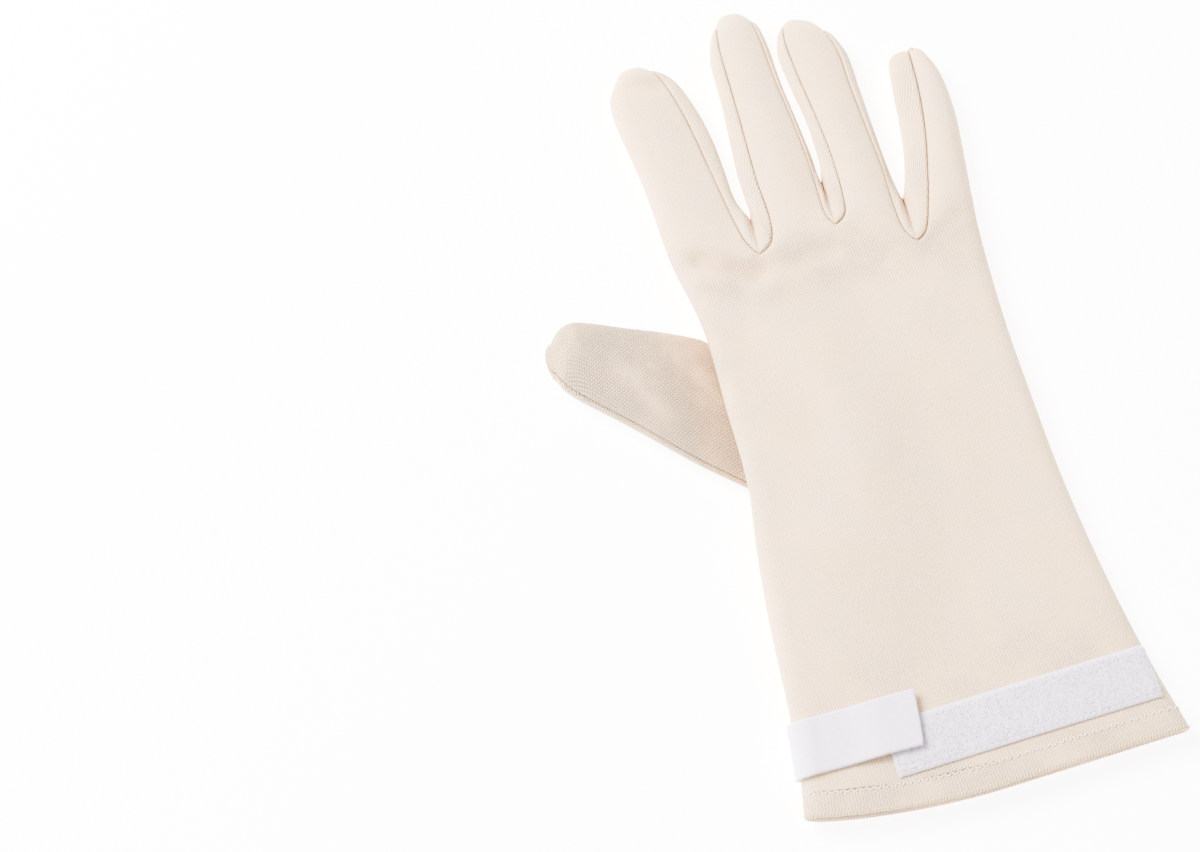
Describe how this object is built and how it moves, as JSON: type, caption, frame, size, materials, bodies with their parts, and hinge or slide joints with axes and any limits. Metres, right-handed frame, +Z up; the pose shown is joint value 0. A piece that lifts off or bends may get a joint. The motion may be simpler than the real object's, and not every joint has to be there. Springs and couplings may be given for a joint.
{
  "type": "glove liner",
  "caption": "Cotton glove liner for the right hand, lying flat with its back up, with fourchettes, a set-in thumb, a turned hem and a hook-and-loop wrist closure.",
  "frame": {"origin": "bottom centre of the bounding box: the middle of the outline, on the surface that the glove lies on", "axes": "+Y from the cuff to the fingertips, +X from the thumb to the little finger, +Z up from the palm to the back of the hand"},
  "size_m": [0.1806, 0.3186, 0.0158],
  "materials": {
    "cotton": "unbleached cream cotton interlock knit with fine ribs and a soft fuzz",
    "loop_tape": "white woven tape with a napped loop face",
    "hook_tape": "smooth white woven back of hook tape"
  },
  "bodies": {
    "root": {"back": "cotton", "palm": "cotton", "fourchette_index_middle": "cotton", "fourchette_middle_ring": "cotton", "fourchette_ring_little": "cotton", "thumb": "cotton", "cuff_hem": "cotton", "loop_strip": "loop_tape", "hook_tab": "hook_tape"}
  },
  "joints": []
}
